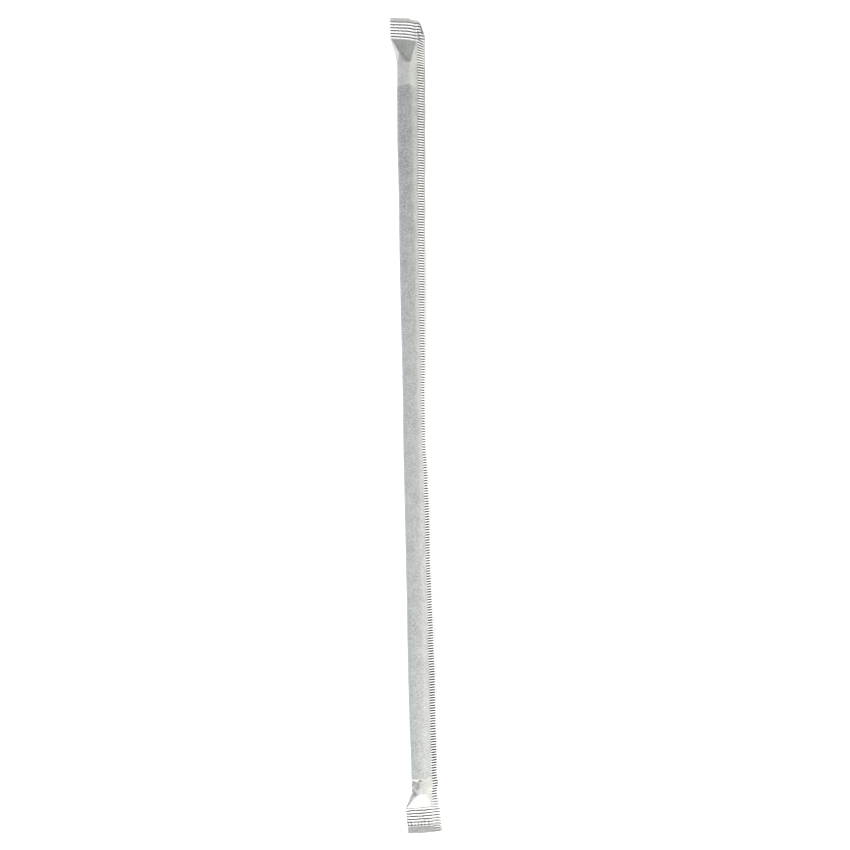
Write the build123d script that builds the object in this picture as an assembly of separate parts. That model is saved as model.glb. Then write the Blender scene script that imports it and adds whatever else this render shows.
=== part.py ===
import os
from math import acos, asin, atan, atan2, cos, degrees, hypot, radians, sin

from build123d import *

# A drinking straw in its paper wrapper. Millimetres, +Z up, with the straw along Y, the top end
# towards +Y and the long crimped fin towards +X. The wrapper lies on the plane Z = 0.

# Straw: a plain extruded tube
straw_diameter = 5.0
straw_wall = 0.2
straw_length = 240.0

# Wrapper: one sheet of thin paper, folded to a sleeve and crimped shut
paper = 0.06
straw_gap = 0.1  # all round, between the straw and the sleeve
sleeve_width = 9.4  # of the sleeve pressed flat, without its fin
fin_width = 2.8  # of the two edges crimped together along one side
rest_strip = 1.6  # of the underside that lies flat on a surface
fold = 0.35  # how much of a seal's width turns the corner at each end of a taper's cones
apex = 12.0  # degrees of the sleeve's back that the point of a taper's triangle takes
slit = 0.03  # between the two plies where the sleeve closes into a seal

# Each end runs from the straw's cut end outwards: empty sleeve, a taper that flattens it, and a
# crimped seal with a plain margin at its outer edge. Its twist turns the fin's side down.
top_end = {"empty": 8.0, "taper": 7.6, "seal": 8.0, "margin": 1.0, "twist": 12.0, "shift": -0.3}
bottom_end = {"empty": 5.2, "taper": 4.9, "seal": 8.7, "margin": 2.2, "twist": 8.0, "shift": 0.0}
crimp_pitch = 1.05
crimp_height = 0.12  # of a ridge above and below the flat seal

# Worked out from the sizes above
inner_radius = straw_diameter / 2 + straw_gap
outer_radius = inner_radius + paper
axis_height = outer_radius
strip_turn = degrees(2 * atan(rest_strip / 2 / outer_radius))


def seam_turn():
    # half the angle that the seam's sheets leave open round the straw, so that the sleeve's whole
    # way round is twice its flat width: tan(turn) - turn is then known, and this closes in on turn
    radius = (inner_radius + outer_radius) / 2
    excess = sleeve_width / radius - radians(180)
    turn = 1.0
    for _ in range(30):
        turn -= (sin(turn) / cos(turn) - turn - excess) / (1 / cos(turn) ** 2 - 1)
    return turn


# The fin droops until its outer edge lies on the surface beside the sleeve
seam_distance = (inner_radius + outer_radius) / 2 / cos(seam_turn())
droop = asin((axis_height - paper) / (seam_distance + fin_width))
fin_out = (cos(droop), -sin(droop))
fin_up = (sin(droop), cos(droop))

# The middle of the sleeve's upper ply, where the taper's triangle comes to its point
seam_sheet = seam_distance * sin(seam_turn())
back_angle = degrees(seam_turn() - droop + (sleeve_width / 2 - seam_sheet) / outer_radius)


def at_seam(distance, rise):
    # a point of the section, out along the fin and up from its middle
    x = distance * fin_out[0] + rise * fin_up[0]
    z = axis_height + distance * fin_out[1] + rise * fin_up[1]
    return x, z


def round_edges(y, radius, upper, lower):
    # the sleeve's section in seven edges, from the seam's upper side over the straw's back, down
    # its far side and along the resting strip to the seam's lower side
    x, z = upper[0], upper[1] - axis_height
    start = degrees(atan2(z, x) + acos(radius / hypot(x, z)))
    angles = [start, back_angle - apex / 2, back_angle + apex / 2, 270 - strip_turn]
    strip = rest_strip / 2 * radius / outer_radius

    def on_round(angle):
        return Vector(radius * cos(radians(angle)), y, axis_height + radius * sin(radians(angle)))

    left = Vector(-strip, y, axis_height - radius)
    right = Vector(strip, y, axis_height - radius)
    seam = [Vector(upper[0], y, upper[1]), Vector(lower[0], y, lower[1])]
    edges = [Edge.make_line(seam[0], on_round(angles[0]))]
    for first, last in zip(angles, angles[1:]):
        middle = on_round((first + last) / 2)
        edges.append(Edge.make_three_point_arc(on_round(first), middle, on_round(last)))
    edges.append(Edge.make_line(on_round(angles[3]), left))
    edges.append(Edge.make_line(left, right))
    edges.append(Edge.make_line(right, seam[1]))
    return edges


def across_seal(end, out, rise):
    # a point of a flat seal's section, out from the sleeve's middle and up from between its plies
    turn = radians(end["twist"])
    x = end["shift"] + out * cos(turn) + rise * sin(turn)
    z = axis_height - out * sin(turn) + rise * cos(turn)
    return x, z


def flat_edges(y, end, half, far, near_rise):
    # the same seven edges where the sleeve is pressed flat, with its plies half apart
    near = sleeve_width / 2
    corners = [(near, near_rise), (near - fold, half), (near - 2 * fold, half), (fold - far, half)]
    corners += [(-far, half), (-far, -half), (near - fold, -half), (near, -near_rise)]
    points = [across_seal(end, *corner) for corner in corners]
    points = [Vector(x, y, z) for x, z in points]
    return [Edge.make_line(a, b) for a, b in zip(points, points[1:])]


def fin_edges(y, corners):
    # the fin's lower side, its outer edge and its upper side
    points = [Vector(x, y, z) for x, z in corners]
    return [Edge.make_line(a, b) for a, b in zip(points, points[1:])]


def outer_round(y):
    root = [at_seam(seam_distance, rise) for rise in (paper, -paper)]
    tip = [at_seam(seam_distance + fin_width, rise) for rise in (-paper, paper)]
    return round_edges(y, outer_radius, *root) + fin_edges(y, [root[1], *tip, root[0]])


def outer_flat(y, end):
    near = sleeve_width / 2
    fin = [(near, -paper), (near + fin_width, -paper), (near + fin_width, paper), (near, paper)]
    edges = flat_edges(y, end, paper, near, paper)
    return edges + fin_edges(y, [across_seal(end, *corner) for corner in fin])


def inner_round(y):
    root = at_seam(seam_distance, 0)
    return round_edges(y, inner_radius, root, root)


def inner_flat(y, end):
    return flat_edges(y, end, slit / 2, sleeve_width / 2 - paper, 0)


def skinned(bottom_flat, bottom_round, top_round, top_flat):
    # a solid from four matching rings of edges: its tapers are ruled from edge to edge, and
    # its long straight run, whose two rings are alike, is made of true planes and cylinders
    run = Vector(0, top_round[0].center().Y - bottom_round[0].center().Y, 0)
    faces = [Face(Wire(bottom_flat)), Face(Wire(top_flat))]
    faces += [Face.make_surface_from_curves(a, b) for a, b in zip(bottom_flat, bottom_round)]
    faces += [Face.extrude(edge, run) for edge in bottom_round]
    faces += [Face.make_surface_from_curves(a, b) for a, b in zip(top_round, top_flat)]
    return Solid(Shell(faces))


def seal(y, end, away):
    # the two plies and the fin pressed together: ridges across the seal, then a plain margin
    ridges = int((end["seal"] - end["margin"]) / crimp_pitch)
    lead = end["seal"] - end["margin"] - ridges * crimp_pitch
    middle = [(0, 0), (lead, 0)]
    for ridge in range(ridges):
        middle.append((lead + (ridge + 0.25) * crimp_pitch, crimp_height))
        middle.append((lead + (ridge + 0.75) * crimp_pitch, -crimp_height))
    middle += [(end["seal"] - end["margin"], 0), (end["seal"], 0)]
    outline = [(along, rise + paper) for along, rise in middle]
    outline += [(along, rise - paper) for along, rise in reversed(middle)]
    points = []
    for along, rise in outline:
        x, z = across_seal(end, -sleeve_width / 2, rise)
        points.append(Vector(x, y + away * along, z))
    face = Face(Wire.make_polygon(points))
    turn = radians(end["twist"])
    width = sleeve_width + fin_width
    return Solid.extrude(face, Vector(width * cos(turn), 0, -width * sin(turn)))


def wrapper():
    top = straw_length / 2 + top_end["empty"]
    bottom = -straw_length / 2 - bottom_end["empty"]
    top_seal = top + top_end["taper"]
    bottom_seal = bottom - bottom_end["taper"]
    outside = skinned(
        outer_flat(bottom_seal, bottom_end),
        outer_round(bottom),
        outer_round(top),
        outer_flat(top_seal, top_end),
    )
    inside = skinned(
        inner_flat(bottom_seal, bottom_end),
        inner_round(bottom),
        inner_round(top),
        inner_flat(top_seal, top_end),
    )
    return outside + seal(top_seal, top_end, 1) + seal(bottom_seal, bottom_end, -1) - inside


def straw():
    face = Circle(straw_diameter / 2) - Circle(straw_diameter / 2 - straw_wall)
    tube = extrude(Plane.XZ * face, straw_length / 2, both=True)
    return Pos(0, 0, axis_height) * tube


# The origin is under the middle of the whole wrapper's box
pieces = {"wrapper": wrapper(), "straw": straw()}
box = pieces["wrapper"].bounding_box()
middle = box.center()
os.makedirs("parts", exist_ok=True)
for name, shape in pieces.items():
    export_step(Pos(-middle.X, -middle.Y, -box.min.Z) * shape, f"parts/{name}.step")
size = box.size
print(f"wrapper {size.X:.2f} x {size.Y:.2f} x {size.Z:.2f} mm")
print(f"straw axis at x {-middle.X:.3f}, y {-middle.Y:.3f}, z {axis_height - box.min.Z:.3f} mm")
print(f"fin root {seam_distance:.2f} mm from the axis, drooping {degrees(droop):.1f} degrees")
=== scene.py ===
import math

import bpy
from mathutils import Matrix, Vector, noise


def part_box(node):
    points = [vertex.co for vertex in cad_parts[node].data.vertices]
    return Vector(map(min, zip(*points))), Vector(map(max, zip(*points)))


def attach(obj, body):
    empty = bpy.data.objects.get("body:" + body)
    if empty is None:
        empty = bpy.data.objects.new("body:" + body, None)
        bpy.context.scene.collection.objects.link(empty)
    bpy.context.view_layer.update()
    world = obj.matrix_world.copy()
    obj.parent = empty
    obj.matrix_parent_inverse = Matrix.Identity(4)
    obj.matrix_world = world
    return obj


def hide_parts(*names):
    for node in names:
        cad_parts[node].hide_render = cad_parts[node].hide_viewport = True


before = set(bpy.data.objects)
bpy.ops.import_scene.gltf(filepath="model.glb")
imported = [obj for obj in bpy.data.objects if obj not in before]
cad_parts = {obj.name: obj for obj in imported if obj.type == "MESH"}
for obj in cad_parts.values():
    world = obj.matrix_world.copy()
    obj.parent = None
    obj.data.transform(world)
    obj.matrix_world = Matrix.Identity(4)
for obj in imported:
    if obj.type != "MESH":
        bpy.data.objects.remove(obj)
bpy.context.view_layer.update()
print("frame loaded:", sorted(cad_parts))

mm = 0.001
strawLow, strawHigh = [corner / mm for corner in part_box("straw")]
wrapLow, wrapHigh = [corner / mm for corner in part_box("wrapper")]
axisX = (strawLow.x + strawHigh.x) / 2
axisZ = (strawLow.z + strawHigh.z) / 2


def mix(a, b, t):
    return a + (b - a) * t


def ease(t):
    t = min(max(t, 0.0), 1.0)
    return t * t * (3 - 2 * t)


def ramp(value, start, end):
    # 0 before start, 1 after end, eased between
    return ease((value - start) / (end - start))


def between(stations, place, straight=False):
    # what the stations say at a place, eased from each one to the next, or in straight lines
    for low, high in zip(stations, stations[1:]):
        if place <= high[0]:
            break
    t = min(max((place - low[0]) / (high[0] - low[0]), 0.0), 1.0)
    t = t if straight else ease(t)
    return [mix(a, b, t) for a, b in zip(low[1:], high[1:])]


class Value:
    # a socket that takes part in Python sums
    def __init__(self, shader, socket):
        self.shader = shader
        self.socket = socket

    def math(self, operation, first, second=0.0):
        node = self.shader.add("ShaderNodeMath", {"operation": operation}, {0: first, 1: second})
        return Value(self.shader, node.outputs[0])

    def __add__(self, other):
        return self.math("ADD", self, other)

    def __radd__(self, other):
        return self.math("ADD", other, self)

    def __sub__(self, other):
        return self.math("SUBTRACT", self, other)

    def __rsub__(self, other):
        return self.math("SUBTRACT", other, self)

    def __mul__(self, other):
        return self.math("MULTIPLY", self, other)

    def __rmul__(self, other):
        return self.math("MULTIPLY", other, self)

    def fraction(self):
        return self.math("FRACT", self)

    def highest(self, other):
        return self.math("MAXIMUM", self, other)

    def step(self, start, end):
        # 0 before start, 1 after end, eased between
        settings = {"interpolation_type": "SMOOTHSTEP"}
        values = {"Value": self, "From Min": start, "From Max": end}
        return self.shader.value("ShaderNodeMapRange", 0, settings, values)


class Shader:
    # one material, and the nodes that it is made of
    def __init__(self, name):
        self.material = bpy.data.materials.new(name)
        self.material.use_nodes = True
        self.tree = self.material.node_tree
        self.tree.nodes.clear()

    def add(self, kind, settings=None, values=None):
        node = self.tree.nodes.new(kind)
        for key, setting in (settings or {}).items():
            setattr(node, key, setting)
        for key, value in (values or {}).items():
            if isinstance(value, Value):
                self.tree.links.new(value.socket, node.inputs[key])
            else:
                node.inputs[key].default_value = value
        return node

    def value(self, kind, output, settings=None, values=None):
        return Value(self, self.add(kind, settings, values).outputs[output])

    def blend(self, amount, first, second, how="MIX"):
        # colours through a Mix node: its colour sockets are numbers 6 and 7, its result 2
        settings = {"data_type": "RGBA", "blend_type": how}
        return self.value("ShaderNodeMix", 2, settings, {0: amount, 6: first, 7: second})

    def finish(self, values):
        surface = self.add("ShaderNodeBsdfPrincipled", None, values)
        output = self.add("ShaderNodeOutputMaterial")
        self.tree.links.new(surface.outputs[0], output.inputs[0])
        return self.material


view = {
    "lens": 60.0,       # on a 36 mm sensor
    "nearest": 10.0,    # that it shows
    "height": 494.0,    # above the surface that the wrapper lies on
    "aside": 4.61,      # of the straw's axis, towards the fin
    "lean": -1.17,      # degrees
}


def addCamera():
    data = bpy.data.cameras.new("camera")
    data.lens = view["lens"]
    data.clip_start = view["nearest"] * mm
    camera = bpy.data.objects.new("camera", data)
    camera.location = Vector((axisX + view["aside"], 0, view["height"])) * mm
    camera.rotation_euler = (0, 0, math.radians(view["lean"]))
    bpy.context.scene.collection.objects.link(camera)
    bpy.context.scene.camera = camera
    print("camera placed")


# Lights shine at the wrapper's middle: degrees round from its bottom end and up, metres, watts
studio = {
    "key": {"turn": 24, "rise": 26, "away": 1.1, "size": 0.30, "power": 13.5, "colour": (1.0, 0.985, 0.95)},
    "cool": {"turn": -75, "rise": 30, "away": 0.9, "size": 0.40, "power": 3.4, "colour": (0.86, 0.92, 1.0)},
    "sky": {"colour": (0.95, 0.97, 1.0, 1), "strength": 0.24},
    "floor": {"size": 3.0, "colour": (0.62, 0.62, 0.62, 1), "roughness": 0.9, "glow": 0.86,
              "below": 0.15 * mm},
}


def addLight(name):
    lamp = studio[name]
    data = bpy.data.lights.new(name, "AREA")
    data.shape = "DISK"
    data.size = lamp["size"]
    data.energy = lamp["power"]
    data.color = lamp["colour"]
    turn, rise = math.radians(lamp["turn"]), math.radians(lamp["rise"])
    out = Vector((math.sin(turn) * math.cos(rise), -math.cos(turn) * math.cos(rise), math.sin(rise)))
    light = bpy.data.objects.new(name, data)
    light.location = out * lamp["away"]
    light.rotation_mode = "QUATERNION"
    light.rotation_quaternion = out.to_track_quat("Z", "Y")
    bpy.context.scene.collection.objects.link(light)


def addStudio():
    addLight("key")
    addLight("cool")
    world = bpy.data.worlds.new("sky")
    world.use_nodes = True
    background = world.node_tree.nodes["Background"]
    background.inputs["Color"].default_value = studio["sky"]["colour"]
    background.inputs["Strength"].default_value = studio["sky"]["strength"]
    bpy.context.scene.world = world
    bpy.context.scene.view_settings.view_transform = "Standard"
    ground = studio["floor"]
    half = ground["size"] / 2
    corners = [(x * half, y * half, -ground["below"]) for x, y in ((-1, -1), (1, -1), (1, 1), (-1, 1))]
    mesh = bpy.data.meshes.new("floor")
    mesh.from_pydata(corners, [], [(0, 1, 2, 3)])
    mesh.materials.append(Shader("floorPaper").finish({
        "Base Color": ground["colour"],
        "Roughness": ground["roughness"],
        "Emission Color": (1, 1, 1, 1),
        "Emission Strength": ground["glow"],
    }))
    floor = bpy.data.objects.new("floor", mesh)
    bpy.context.scene.collection.objects.link(floor)
    print("studio lit")


# The wrapper in mm. Its shares round the sleeve run from the fin's root (0), over the straw's back,
# to the root's underside (1).
wrapper = {
    "paper": 0.06,
    "slit": 0.015,          # half the gap between the plies where they meet at a seal
    "flatWidth": 9.4,       # of the sleeve pressed flat
    "bendRound": 0.8,       # either side of the bend across a seal
    "wander": (0.5, 0.9),   # of the paper's waver, in waves per mm across and along
    # the long fin, its crimps, and where they lie as shares of its width
    "fin": 2.8,
    "crimpPitch": 0.9,
    "crimpHeight": 0.19,
    "crimpStart": 0.06,
    "crimpFade": 0.07,      # from the crimped share to the plain strip beyond it
    "finEdge": 0.93,        # where the grey outermost edge begins
    "topWhite": 0.3,        # how white the plain strip still is at the top end
    "whiteFall": (0.5, 0.95),           # shares of the sleeve's length over which it fades
    "crossedCrimp": 0.4,    # how much of a crimp is lost where a seal's ridges cross it
    # the ridges across both seals, and the cells that some of them are cut into
    "sealHeight": 0.2,
    "sealRise": 0.66,       # the share of a ridge that is its gentle side
    "crest": 0.4,           # how far a ridge's corners are rounded
    "sealSoft": 0.25,       # over which the ridges start beyond the taper
    "sealStop": 0.05,       # over which they stop at the plain margin
    "seamPress": 0.15,      # what is left of them along the fin's root
    "seamSoft": (0.05, 0.25),           # mm from the root, between which they come back
    "cellPitch": 1.22,
    "cellEdge": 3.2,        # mm across, beyond which the ridges stay whole
    "cellWander": (0.9, 1.4, 0.35),     # waves per mm across and along, and mm of it
    "cellDepth": 0.5,
    # the folds of a taper, and how a crease fades beyond its ends
    "facetStart": 0.04,     # the share of a taper over which the painted highlight and painted shade of its facets begin
    "creaseFade": 0.35,
    "sharpAngle": 38,       # degrees, above which a fold looks sharp
    # how closely the points lie
    "crimpRows": 6,         # rows to each crimp of the fin
    "sealSpacing": 0.105,
    "coarse": 12,           # fin rows to one row of the sleeve along the straw
    "medium": 2,            # and near the seals
    "endZone": 17.0,        # of the sleeve that is near a seal
    "fineBefore": 0.5,      # inside the straw's cut end, where every row is kept
    "foldColumns": (8, 24, 20, 1, 8),   # columns between the folds of a taper
}

# The same values for both ends. A place across a seal is in mm from the sleeve's middle, towards
# the fin.
#   side: 1 towards +Y, -1 towards -Y. seal, taper: their lengths. margin: plain paper beyond the
#   ridges. hem: how much of the outer edge is turned under. lead: where the ridges start. pitch,
#   phase: of the ridges. fan: how much they spread per mm across, where the seal meets the taper.
#   shift: of the whole seal, towards the fin. slope: degrees that it falls towards the fin, on
#   either side of its bend. swing: degrees that it leans towards the fin, and curl: that its
#   margin lifts. waver: how unevenly the ridges run.
#   folds: share round the sleeve, share where it is pressed flat, how far it is drawn to the
#   taper's knee, and how much a painted highlight whitens it or, below zero, how much painted
#   shade greys it. knee: its share of the taper, and its place from the straw's axis.
#   sag: how far the ridges stray along the straw, across the seal. cut: how far the outer edge is
#   cut back, across the seal. brokenRows: outermost ridges that are cut into cells.
#   seam: where the fin's root crosses the seal. ridges: how deep they are, and finPress: on the
#   fin. finBand: how deep the fin's crimps are there, finStart: where they start, and crossing:
#   how much more they slant.
#   creases: from one place to another, in degrees about the straw and mm past its cut end. The
#   paper drops over a short way and climbs back over a longer one, by a depth. creased: how far
#   past the cut end every row of points is kept for them.
topEnd = {
    "side": 1, "seal": 7.4, "taper": 8.2, "margin": 1.2, "hem": 0.4,
    "pitch": 1.05, "phase": 0.0, "lead": 0.2, "fan": -0.052,
    "shift": 0.0, "slope": (11, 5), "bend": 0.8, "swing": 0.0, "curl": 6.0,
    # the fourth value of the last folds is a painted highlight on the facet beside the knee
    "folds": [(0.0, 0.0, 0, 0), (0.226, 0.023, 0, 0), (0.240, 0.468, 0.1, 0),
              (0.485, 0.478, 1, 0), (0.487, 0.48, 1, 1), (0.5, 0.5, 0, 0.8)],
    "knee": (0.36, -1.6, 1.9),
    "sag": [(-4.7, -0.08), (1.3, 0.0), (4.5, -0.35), (7.5, -0.2)],
    "cut": [(-4.7, 0.0), (1.9, 0.0), (2.3, 0.35), (4.2, 0.4), (5.45, 0.5), (6.2, 2.2), (7.5, 6.3)],
    "waver": 0.05, "brokenRows": 0, "seam": 3.95,
    "ridges": 1.0, "finPress": 0.7, "finBand": 1.0, "finStart": 0.06, "crossing": 3.0,
    "creases": [(74, 0.1, 55, 0.2, 0.25, 0.8, 0.08)], "creased": 0.7,
}
bottomEnd = {
    "side": -1, "seal": 8.7, "taper": 4.9, "margin": 2.2, "hem": 0.4,
    "pitch": 1.0, "phase": 0.42, "lead": 0.25, "fan": 0.03,
    "shift": -0.2, "slope": (10, 20), "bend": 3.0, "swing": 4.3, "curl": 21.0,
    # the fourth value of the last folds is painted shade on the facet beside the knee
    "folds": [(0.0, 0.0, 0, 0), (0.12, 0.01, 0, 0), (0.33, 0.484, 0, 0),
              (0.485, 0.49, 0, -0.9), (0.487, 0.492, 0, -0.9), (0.5, 0.5, 0, -0.9)],
    "knee": (0.5, 0.0, 0.0),
    "sag": [(-4.7, 0.12), (4.7, -0.12), (7.5, -0.2)],
    "cut": [(-4.7, 0.0), (4.9, 0.0), (5.3, 0.15), (7.5, 0.2)],
    "waver": 0.12, "brokenRows": 2, "seam": 4.6,
    "ridges": 0.78, "finPress": 0.6, "finBand": 0.5, "finStart": 0.28, "crossing": 2.0,
    "creases": [(148, -0.03, 92, -0.03, 0.9, 2.5, 0.85), (84, -0.03, 74, -0.03, 0.35, 0.35, 0.9),
                (138, 2.9, 103, 4.6, 0.7, 0.9, 0.75)], "creased": 5.5,
}

# How the sleeve lies on its way from the bottom edge (0) to the top edge (1): how far the fin's root
# stands out from the straw's axis, the fin's droop in degrees, the sleeve's slack, the slant of the
# fin's crimps in degrees, and the share of its width that is crimped
drape = [
    (0.045, 4.10, 35, 0.00, -2, 0.74), (0.058, 4.75, 35, 0.00, -2, 0.74),
    (0.072, 4.30, 35, 0.00, -2, 0.74), (0.088, 4.45, 34, 0.02, -2, 0.74),
    (0.138, 4.25, 26, 0.30, -1, 0.70),
    (0.187, 4.30, 22, 0.37, 0, 0.68), (0.236, 4.10, 24, 0.40, 1, 0.66), (0.285, 4.15, 41, 0.33, 2, 0.64),
    (0.334, 3.95, 44, 0.36, 3, 0.64), (0.383, 3.90, 37, 0.39, 2, 0.62), (0.432, 3.70, 42, 0.42, 0, 0.60),
    (0.482, 3.50, 53, 0.44, 0, 0.56), (0.531, 3.40, 49, 0.28, -1, 0.60), (0.580, 3.55, 44, 0.29, -1, 0.66),
    (0.629, 3.40, 35, 0.36, -1, 0.70), (0.678, 3.50, 30, 0.38, -2, 0.74), (0.727, 3.60, 28, 0.38, -1, 0.76),
    (0.776, 3.75, 23, 0.24, 0, 0.78), (0.850, 4.05, 15, 0.33, -5, 0.78), (0.899, 4.30, 12, 0.15, -8, 0.76),
    (0.929, 4.45, 10, 0.00, -9, 0.76), (0.950, 4.50, 9, 0.00, -9, 0.76),
]

# How strongly the straw shows through the paper, by degrees about it: less where the sleeve is
# loose than at the top end, where it is tight
showThrough = {
    "loose": [(15, 0.54), (75, 0.42), (100, 0.42), (150, 0.58)],
    "tight": [(0, 0.45), (38, 0.84), (140, 0.84), (170, 0.72)],
    "tightens": (0.6, 0.97),    # shares of the way from the bottom edge to the top edge
    "cutEdge": (-0.1, 0.35),    # mm inside the straw's cut end
}

bottomSealEnd = wrapLow.y + bottomEnd["seal"]
bottomTaperEnd = bottomSealEnd + bottomEnd["taper"]
topSealEnd = wrapHigh.y - topEnd["seal"]
topTaperEnd = topSealEnd - topEnd["taper"]
crimpCount = round((topSealEnd - bottomSealEnd) / wrapper["crimpPitch"])
crimpPitch = (topSealEnd - bottomSealEnd) / crimpCount


def wavering(across, along, wander, layer):
    # from -1 to 1, and the same each time: layers differ from one another
    return noise.noise(Vector((across * wander[0], along * wander[1], layer)))


class Section:
    # the wrapper's cross-section at one place along the straw, in mm about the straw's axis
    def __init__(self, y):
        self.y = y
        self.end = topEnd if y > 0 else bottomEnd
        sealEnd = topSealEnd if y > 0 else bottomSealEnd
        self.outward = (y - sealEnd) * self.end["side"]
        self.flatness = min(max(1 + self.outward / self.end["taper"], 0.0), 1.0)
        self.pastStraw = (y - strawHigh.y) if y > 0 else (strawLow.y - y)
        self.place = (y - bottomTaperEnd) / (topTaperEnd - bottomTaperEnd)
        self.place = min(max(self.place, 0.0), 1.0)
        taperEnd = min(max(y, bottomTaperEnd), topTaperEnd)
        share = (taperEnd - wrapLow.y) / (wrapHigh.y - wrapLow.y)
        reach, droop, slack, slant, band = between(drape, share)
        droop = math.radians(droop)
        self.out = (math.cos(droop), -math.sin(droop))
        self.up = (math.sin(droop), math.cos(droop))
        self.root = (reach, wrapper["paper"] + wrapper["fin"] * math.sin(droop) - axisZ)
        self.wide = 1 + slack / axisZ
        self.slant = math.tan(math.radians(slant))
        # lines of points along the fin, from its edge to its root: the share of its width where each
        # lies, and whether it is crimped, white or dull there
        start = mix(wrapper["crimpStart"], self.end["finStart"], self.flatness)
        edge = wrapper["finEdge"]
        self.finLines = (
            (1.0, 0, 0, 1.0), (edge, 0, 1, 0), (mix(band, edge, 0.6), 0, 1, 0),
            (band + wrapper["crimpFade"], 0, 1, 0), (band, 1, 1, 0), (mix(start, band, 0.5), 1, 1, 0),
            (start, 1, 1, 0), (0.0, 0, 0, self.shows(0) / 2),
        )

    def roundPoint(self, share, inset):
        # round the straw: a tangent from the fin's root, an arc, and a tangent back to the root
        radius = axisZ - inset
        ply = wrapper["paper"] - inset
        corners = []
        for side in (1, -1):
            x = (self.root[0] + side * ply * self.up[0]) / self.wide
            z = self.root[1] + side * ply * self.up[1]
            half = math.acos(radius / math.hypot(x, z))
            corners.append((x, z, math.atan2(z, x) + side * half, radius * math.tan(half)))
        (x0, z0, start, upper), (x1, z1, end, lower) = corners
        arc = radius * (end + 2 * math.pi - start)
        way = share * (upper + arc + lower)
        if way < upper:
            x = mix(x0, radius * math.cos(start), way / upper)
            z = mix(z0, radius * math.sin(start), way / upper)
        elif way < upper + arc:
            angle = start + (way - upper) / radius
            x, z = radius * math.cos(angle), radius * math.sin(angle)
        else:
            t = (way - upper - arc) / lower
            x = mix(radius * math.cos(end), x1, t)
            z = mix(radius * math.sin(end), z1, t)
        return x * self.wide, z

    def sealLine(self, across):
        # the pressed seal's middle, bent a little across its width
        near, far = [math.tan(math.radians(slope)) for slope in self.end["slope"]]
        past = across - self.end["bend"]
        soft = wrapper["bendRound"]
        drop = across * near + (past + math.hypot(past, soft)) * (far - near) / 2
        slope = math.atan(mix(near, far, ramp(past, -soft, soft)))
        swing = max(self.outward, 0.0) * math.tan(math.radians(self.end["swing"]))
        curl = max(self.outward - self.end["seal"] + self.end["margin"], 0.0)
        lift = curl * math.tan(math.radians(self.end["curl"]))
        x = self.end["shift"] + across * math.cos(math.atan((near + far) / 2)) + swing
        return x, lift - drop, (math.sin(slope), math.cos(slope))

    def flatPoint(self, share, inset):
        # on the upper ply of the pressed sleeve for the first half of its way round, then the lower
        half = wrapper["flatWidth"] / 2
        thick = wrapper["slit"] if inset else wrapper["paper"]
        across = mix(half, -half, 1 - abs(1 - 2 * share)) * (half - inset) / half
        side = 0 if abs(share - 0.5) < 1e-6 else math.copysign(1, 0.5 - share)
        x, z, up = self.sealLine(across)
        return x + side * thick * up[0], z + side * thick * up[1], across, up

    def loop(self, column, inset):
        # a point of the sleeve: ruled from the round part to the pressed part by way of the knee
        share = mix(column["bottom"][0], column["top"][0], self.place)
        x, z = self.roundPoint(share, inset)
        angle = (math.degrees(math.atan2(z, x)) + 90) % 360 - 90
        if self.flatness == 0:
            return x, z, angle, 0.0, (0.0, 1.0)
        flat, gather = column["top" if self.y > 0 else "bottom"][1:3]
        flatX, flatZ, across, up = self.flatPoint(flat, inset)
        at, kneeX, kneeZ = self.end["knee"]
        hat = gather * min(self.flatness / at, (1 - self.flatness) / (1 - at))
        bulgeX = (kneeX - mix(x, flatX, at)) * hat
        bulgeZ = (kneeZ - inset - mix(z, flatZ, at)) * hat
        x = mix(x, flatX, self.flatness) + bulgeX
        z = mix(z, flatZ, self.flatness) + bulgeZ
        return x, z, angle, across, up

    def finPoint(self, share, side):
        out = share * wrapper["fin"]
        ply = side * wrapper["paper"]
        across = wrapper["flatWidth"] / 2 + out
        flatX, flatZ, flatUp = self.sealLine(across)
        up = [mix(a, b, self.flatness) for a, b in zip(self.up, flatUp)]
        x = mix(self.root[0] + out * self.out[0], flatX, self.flatness) + ply * up[0]
        z = mix(self.root[1] + out * self.out[1], flatZ, self.flatness) + ply * up[1]
        return x, z, across, up

    def strayed(self, across):
        # where the point lies along the straw, and how much of its ridge is left at a turned edge
        end = self.end
        waver = wavering(across, self.y, wrapper["wander"], 0.5) * end["waver"]
        fan = end["fan"] * across * (1 - max(self.outward, 0.0) / end["seal"])
        stray = (between(end["sag"], across)[0] + fan + waver) * self.flatness
        if self.outward <= 0:
            return self.y + stray, 1.0
        edge = end["seal"] - between(end["cut"], across, straight=True)[0]
        turn = edge - end["hem"]
        past = max(self.outward - turn, 0.0) / (end["seal"] - turn)
        out = mix(turn, edge, past) if past > 0 else self.outward
        return self.y + stray + (out - self.outward) * end["side"], 1 - ramp(past, 0.0, 0.5)

    def creased(self, x, z, angle):
        # the paper past the straw's cut end, dropped and pinched at its creases
        perDegree = math.radians(axisZ)     # mm round the sleeve
        depth = 0.0
        for angle0, out0, angle1, out1, drop, climb, deep in self.end["creases"]:
            line = Vector(((angle0 - angle1) * perDegree, out1 - out0))
            here = Vector(((angle0 - angle) * perDegree, self.pastStraw - out0))
            t = here.dot(line) / line.length_squared
            past = line.cross(here) / line.length
            share = max(min(past / drop, 1 - (past - drop) / climb), 0.0)
            overhang = max(-t, t - 1, 0.0) * line.length
            depth += deep * share * (1 - ramp(overhang, 0.0, wrapper["creaseFade"]))
        keep = 1 - depth * (1 - self.flatness) / math.hypot(x, z)
        return x * keep, z * keep

    def shows(self, angle):
        # how strongly the straw shows through the sleeve here
        loose = between(showThrough["loose"], angle)[0]
        tight = between(showThrough["tight"], angle)[0]
        seen = mix(loose, tight, ramp(self.place, *showThrough["tightens"]))
        return seen * ramp(-self.pastStraw, *showThrough["cutEdge"])

    def sealPress(self, across):
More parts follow.
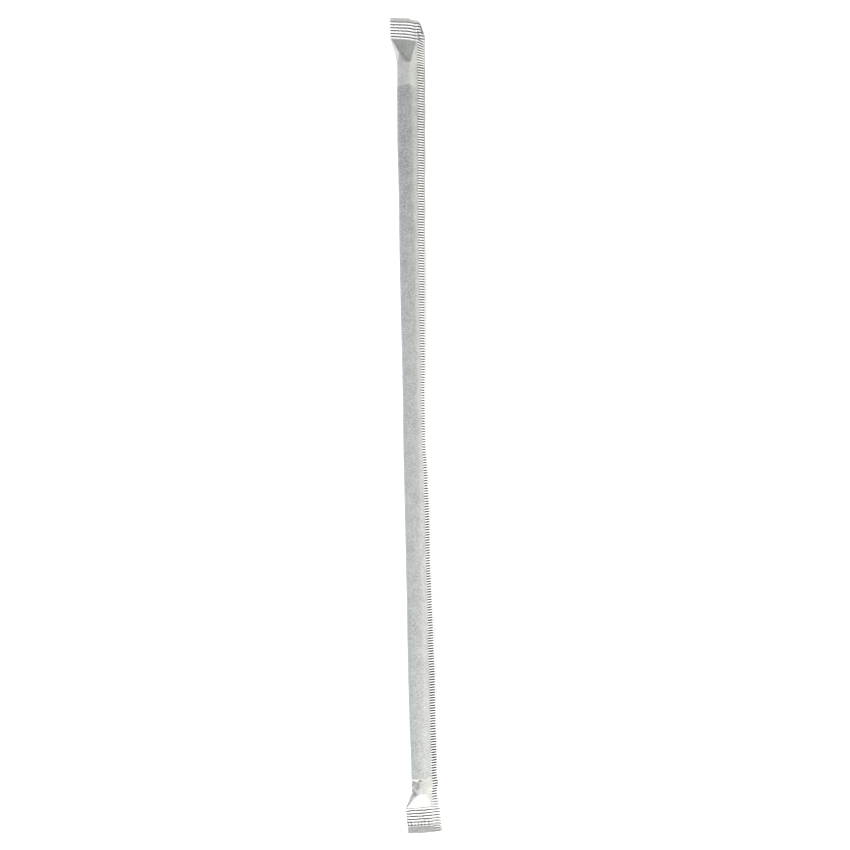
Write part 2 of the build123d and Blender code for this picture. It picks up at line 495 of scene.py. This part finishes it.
        # how deep the seal's ridges are: none on its plain margin, and little along the fin's root
        end = self.end
        edge = end["seal"] - end["margin"]
        soft, stop = wrapper["sealSoft"], wrapper["sealStop"]
        inner = ramp(self.outward, end["lead"] - soft, end["lead"] + soft)
        outer = 1 - ramp(self.outward, edge - stop, edge + stop)
        seam = mix(wrapper["seamPress"], 1.0, ramp(abs(across - end["seam"]), *wrapper["seamSoft"]))
        return seam * inner * end["ridges"] * outer

    def sealCount(self):
        # ridges are counted towards +Y at both ends, from the plain margin or to it
        edge = wrapHigh.y - topEnd["margin"] if self.y > 0 else wrapLow.y + bottomEnd["margin"]
        return (self.y - edge) / self.end["pitch"] + self.end["phase"]

    def cellCount(self, across):
        # a seal's outermost ridges may be cut across into cells, counted from outside the sleeve
        end = self.end
        edge = end["seal"] - end["margin"] - end["brokenRows"] * end["pitch"]
        if not end["brokenRows"] or self.outward < edge or across > wrapper["cellEdge"]:
            return 0.0
        waver = wavering(across, self.y, wrapper["cellWander"], 3.5) * wrapper["cellWander"][2]
        outside = 10    # cells from the sleeve's middle
        return (across + waver) / wrapper["cellPitch"] + outside


def ridge(count, rise):
    # a rounded ridge for each whole number of count, from -1 to 1, that climbs towards +Y
    part = count % 1.0
    height = part / rise if part < rise else (1 - part) / (1 - rise)
    return mix(2 * height - 1, -math.cos(math.pi * height), wrapper["crest"])


class Sheet:
    # collects the wrapper's points and faces, and what its paper's colour depends on. Zones: how
    # deep a point's seal ridges and fin crimps are, how white it stands from pressed plies or a
    # painted highlight, and how strongly the straw shows through or painted shade greys it.
    # Counts: of the seal's ridges, the fin's crimps and the cells, up to the point.
    def __init__(self):
        self.points = []
        self.faces = []
        self.zones = []
        self.counts = []

    def add(self, x, y, z, zone=(0, 0, 0, 0), counts=(0, 0, 0)):
        self.points.append(((x + axisX) * mm, y * mm, max(z + axisZ, 0.0) * mm))
        self.zones.extend(zone)
        self.counts.extend(counts)
        return len(self.points) - 1

    def addFin(self, section, line, side):
        share, crimped, whiteOrPaintedLight, dull = section.finLines[line]
        x, z, across, up = section.finPoint(share, side)
        y, keep = section.strayed(across)
        slanted = share * wrapper["fin"] * section.slant
        y += slanted * (1 - section.flatness)
        press = section.sealPress(across) * keep * section.end["finPress"]
        band = crimped * (1 - wrapper["crossedCrimp"] * press)
        band *= mix(1.0, section.end["finBand"], section.flatness)
        crossed = section.y - slanted * section.flatness * section.end["crossing"]
        counts = (section.sealCount(), (crossed - bottomSealEnd) / crimpPitch, 0)
        lift = press * wrapper["sealHeight"] * ridge(counts[0], wrapper["sealRise"])
        lift += band * wrapper["crimpHeight"] * ridge(counts[1], 0.5)
        whiteOrPaintedLight *= mix(1.0, wrapper["topWhite"], ramp(section.place, *wrapper["whiteFall"]))
        zone = (press, band, mix(whiteOrPaintedLight, 1.0, max(crimped, press)), dull)
        return self.add(x + lift * up[0], y, z + lift * up[1], zone, counts)

    def addSleeve(self, section, column):
        x, z, angle, across, up = section.loop(column, 0.0)
        x, z = section.creased(x, z, angle)
        y, keep = section.strayed(across) if section.flatness else (section.y, 1.0)
        press = section.sealPress(across) * keep
        counts = (section.sealCount(), 0, section.cellCount(across))
        lift = press * wrapper["sealHeight"] * ridge(counts[0], wrapper["sealRise"])
        if counts[2]:
            lift *= mix(1.0, ridge(counts[2], 0.5), wrapper["cellDepth"])
        paintedFacetLight = 0.0
        if 0 < section.flatness < 1:
            paintedFacetLight = column["top" if section.y > 0 else "bottom"][3]
            paintedFacetLight *= ramp(section.flatness, 0.0, wrapper["facetStart"])
        # painted light on the taper's facets: blue lifts a facet to white as a painted highlight, alpha
        # greys it as painted shade
        zone = (press, 0, max(press, paintedFacetLight), max(section.shows(angle), -paintedFacetLight))
        return self.add(x + lift * up[0], y, z + lift * up[1], zone, counts)

    def addInside(self, section, column):
        x, z, angle, across, up = section.loop(column, wrapper["paper"])
        x, z = section.creased(x, z, angle)
        y = section.strayed(across)[0] if section.flatness else section.y
        return self.add(x, y, z)

    def join(self, one, two, flip=False):
        # a strip of faces between two lines of as many points
        for a, b, c, d in zip(one, one[1:], two[1:], two):
            quad = tuple(dict.fromkeys((a, b, c, d)))
            if len(quad) > 2:
                self.faces.append(quad[::-1] if flip else quad)


def makeRows():
    # places along the straw: close together for the seals, and by the fin's crimps between them
    rows = []
    for start, end, spacing in (
        (wrapLow.y, bottomSealEnd, wrapper["sealSpacing"]),
        (bottomSealEnd, topSealEnd, crimpPitch / wrapper["crimpRows"]),
        (topSealEnd, wrapHigh.y, wrapper["sealSpacing"]),
    ):
        count = round((end - start) / spacing)
        rows += [Section(mix(start, end, i / count)) for i in range(count)]
    return rows + [Section(wrapHigh.y)]


def keptRows(rows):
    # the rows on which the sleeve has points too, as the fin has on all: few along the straw
    kept = []
    step = 0
    for i, section in enumerate(rows):
        if section.outward < 0:
            step += 1
        near = section.outward > -wrapper["endZone"]
        fine = -wrapper["fineBefore"] < section.pastStraw < section.end["creased"]
        every = 1 if fine else wrapper["medium"] if near else wrapper["coarse"]
        if section.outward >= -1e-6 or step % every == 0:
            kept.append(i)
    return kept


def makeColumns():
    # places round the sleeve, with what the folds of both ends make of them
    columns = []
    first = zip(topEnd["folds"], topEnd["folds"][1:])
    second = zip(bottomEnd["folds"], bottomEnd["folds"][1:])
    for top, bottom, count in zip(first, second, wrapper["foldColumns"]):
        for i in range(1, count + 1):
            column = {}
            for name, (low, high) in (("top", top), ("bottom", bottom)):
                column[name] = [mix(a, b, i / count) for a, b in zip(low, high)]
            columns.append(column)
    lower = []
    for column in columns[:-1]:
        lower.append({})
        for name in ("top", "bottom"):
            share, flat, gather, whiteOrPaintedLight = column[name]
            # below the fin's root a fold keeps only its painted shade, not its painted highlight
            lower[-1][name] = [1 - share, 1 - flat, 0.0, min(whiteOrPaintedLight, 0.0)]
    return columns + lower[::-1]


def addOutside(sheet, rows, kept, columns):
    fins = []
    for side in (1, -1):
        lines = range(len(rows[0].finLines))
        fins.append([[sheet.addFin(section, line, side) for section in rows] for line in lines])
    upper, lower = fins
    sleeve = [{i: sheet.addSleeve(rows[i], column) for i in kept} for column in columns]
    for one, two in zip(upper, upper[1:]):
        sheet.join(one, two)
    for one, two in zip(lower, lower[1:]):
        sheet.join(one, two, flip=True)
    sheet.join(lower[0], upper[0])
    for a, b in zip(kept, kept[1:]):
        root = tuple(upper[-1][i] for i in range(a, b + 1))
        sheet.faces.append(root + (sleeve[0][b], sleeve[0][a]))
        root = tuple(lower[-1][i] for i in range(b, a - 1, -1))
        sheet.faces.append(root + (sleeve[-1][a], sleeve[-1][b]))
    for one, two in zip(sleeve, sleeve[1:]):
        sheet.join(list(one.values()), list(two.values()))
    half = len(sleeve) // 2
    for i, flip in ((0, False), (len(rows) - 1, True)):
        above = [line[i] for line in upper + sleeve[:half + 1]]
        below = [line[i] for line in lower] + [line[i] for line in sleeve[:half - 1:-1]]
        sheet.join(above, below, flip)


def addInside(sheet, rows, kept, columns):
    # the sleeve's inner side, where the straw lies: closed to a slit at both seals
    seam = {"top": [0.0] * 4, "bottom": [0.0] * 4}
    few = [seam] + columns[1::2]
    places = [rows[i] for i in kept if rows[i].outward <= 1e-6]
    lines = [[sheet.addInside(section, column) for section in places] for column in few]
    for one, two in zip(lines, lines[1:] + lines[:1]):
        sheet.join(one, two, flip=True)
    half = len(lines) // 2
    for j, flip in ((0, True), (-1, False)):
        above = [line[j] for line in lines[:half + 1]]
        below = [lines[0][j]] + [line[j] for line in lines[:half - 1:-1]]
        sheet.join(above, below, flip)


def makeWrapper():
    rows = makeRows()
    kept = keptRows(rows)
    columns = makeColumns()
    sheet = Sheet()
    addOutside(sheet, rows, kept, columns)
    addInside(sheet, rows, kept, columns)
    mesh = bpy.data.meshes.new("paperWrapper")
    mesh.from_pydata(sheet.points, [], sheet.faces)
    counts = mesh.attributes.new("crimpCounts", "FLOAT_VECTOR", "POINT")
    counts.data.foreach_set("vector", sheet.counts)
    zones = mesh.attributes.new("paperZones", "FLOAT_COLOR", "POINT")
    zones.data.foreach_set("color", sheet.zones)
    mesh.shade_smooth()
    mesh.set_sharp_from_angle(angle=math.radians(wrapper["sharpAngle"]))
    mesh.materials.append(glazedPaper())
    piece = bpy.data.objects.new("paperWrapper", mesh)
    bpy.context.scene.collection.objects.link(piece)
    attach(piece, "root")
    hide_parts("wrapper")
    triangles = sum(len(face) - 2 for face in sheet.faces)
    print("wrapper:", len(sheet.points), "points,", triangles, "triangles")


paper = {
    "pressed": (0.95, 0.95, 0.94, 1),       # two plies, crimped together, and the painted highlight on a taper's facet
    "single": (0.665, 0.675, 0.642, 1),
    # also the colour of painted shade on the taper's dull facets, and of the fin's grey edge
    "overStrawOrShade": (0.441, 0.456, 0.460, 1),
    # painted shade on the steep side of each crimp, ridge and cell
    "crimpShade": (0.02, 0.02, 0.019, 1),
    "fibreScale": 2400.0,       # per metre
    "cloudScale": 330.0,
    "fibres": (0.77, 0.98),     # how much they change the tone of a ply, and more over the straw or in painted shade
    "clouds": 0.35,
    "pressedMottle": 0.15,      # what is left of both where two plies are pressed together
    # painted shade on the steep side of each ridge, crimp and cell: where it begins and ends in its own
    # length
    "sealFlank": (0.62, 1.00),
    "cellFlank": (0.10, 0.40),
    "finFlank": (0.50, 0.97),
    "flankEdge": 0.06,
    "sealShade": (0.45, 1.2),   # how dark the painted shade on the ridges is, and how much more in a cloud
    "roughness": (0.42, 0.16),  # between the fibres, and more on them
    "grain": (0.3, 0.02),       # strength, and mm
    "grainClouds": 2.0,         # their part in the grain, beside the fibres'
}


def paintedFlankShade(count, start, end):
    # the steep side of each crimp, ridge or cell, darkened by painted shade
    part = count.fraction()
    edge = paper["flankEdge"]
    return part.step(start, start + edge) * (1 - part.step(end - edge, end))


def glazedPaper():
    shader = Shader("glazedPaper")
    zones = shader.add("ShaderNodeAttribute", {"attribute_name": "paperZones"})
    split = shader.add("ShaderNodeSeparateColor", None, {0: Value(shader, zones.outputs["Color"])})
    sealed, crimped, whiteOrPaintedLight = [Value(shader, split.outputs[i]) for i in range(3)]
    # alpha: the straw showing through, or painted shade on a facet
    throughOrShade = Value(shader, zones.outputs["Alpha"])
    counts = shader.value("ShaderNodeAttribute", "Vector", {"attribute_name": "crimpCounts"})
    split = shader.add("ShaderNodeSeparateXYZ", None, {0: counts})
    sealCount, finCount, cellCount = [Value(shader, split.outputs[i]) for i in range(3)]
    place = shader.value("ShaderNodeTexCoord", "Object")
    fibres = shader.value("ShaderNodeTexNoise", "Fac", None, {
        "Vector": place, "Scale": paper["fibreScale"], "Detail": 1.0, "Roughness": 0.6})
    clouds = shader.value("ShaderNodeTexNoise", "Fac", None, {
        "Vector": place, "Scale": paper["cloudScale"], "Detail": 2.0, "Roughness": 0.5})

    # the tone of the plies, with painted highlights and painted shade on facets, then the mottle of the
    # paper
    tone = shader.blend(throughOrShade, paper["single"], paper["overStrawOrShade"])
    tone = shader.blend(whiteOrPaintedLight, tone, paper["pressed"])
    ply, overStrawOrShade = paper["fibres"]
    mottle = (fibres - 0.5) * (ply + throughOrShade * overStrawOrShade) + (clouds - 0.5) * paper["clouds"]
    mottle = 1 + mottle * (1 - whiteOrPaintedLight * (1 - paper["pressedMottle"]))
    grey = shader.value("ShaderNodeCombineColor", 0, None, {0: mottle, 1: mottle, 2: mottle})
    tone = shader.blend(1.0, tone, grey, "MULTIPLY")

    # painted shade on the steep sides of ridges, cells and crimps
    least, more = paper["sealShade"]
    shade = paintedFlankShade(sealCount, *paper["sealFlank"]).highest(paintedFlankShade(cellCount, *paper["cellFlank"]))
    shade = shade * sealed * (clouds * more + least)
    shade = shade.highest(paintedFlankShade(finCount, *paper["finFlank"]) * crimped)
    tone = shader.blend(shade, tone, paper["crimpShade"])

    strength, height = paper["grain"]
    grain = shader.value("ShaderNodeBump", 0, None, {
        "Strength": strength, "Distance": height * mm, "Height": fibres + clouds * paper["grainClouds"]})
    smooth, rougher = paper["roughness"]
    return shader.finish({
        "Base Color": tone,
        "Roughness": smooth + fibres * rougher,
        "Normal": grain,
    })


straw = {
    "clear": (0.86, 0.88, 0.90, 1),
    "hazy": (0.78, 0.81, 0.85, 1),
    "haze": 0.5,            # how much of it there is
    "hazeScale": 180.0,     # per metre
    "lineScale": 9000.0,    # of the fine lines along the tube, from its extrusion
    "lineStretch": 100.0,
    "lines": (0.15, 0.01),          # strength, and mm
    "roughness": (0.24, 0.14),      # where clear, and more in the haze
}


def finishStraw():
    shader = Shader("strawPlastic")
    place = shader.value("ShaderNodeTexCoord", "Object")
    stretched = shader.value("ShaderNodeVectorMath", 0, {"operation": "MULTIPLY"}, {
        0: place, 1: (1.0, 1 / straw["lineStretch"], 1.0)})
    lines = shader.value("ShaderNodeTexNoise", "Fac", None, {
        "Vector": stretched, "Scale": straw["lineScale"], "Detail": 2.0})
    haze = shader.value("ShaderNodeTexNoise", "Fac", None, {
        "Vector": place, "Scale": straw["hazeScale"], "Detail": 2.0})
    strength, height = straw["lines"]
    drawn = shader.value("ShaderNodeBump", 0, None, {
        "Strength": strength, "Distance": height * mm, "Height": lines})
    smooth, rougher = straw["roughness"]
    surface = shader.finish({
        "Base Color": shader.blend(haze * straw["haze"], straw["clear"], straw["hazy"]),
        "Roughness": smooth + haze * rougher,
        "Normal": drawn,
    })
    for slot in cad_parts["straw"].material_slots:
        slot.material = surface
    print("straw finished")


addCamera()
addStudio()
makeWrapper()
finishStraw()
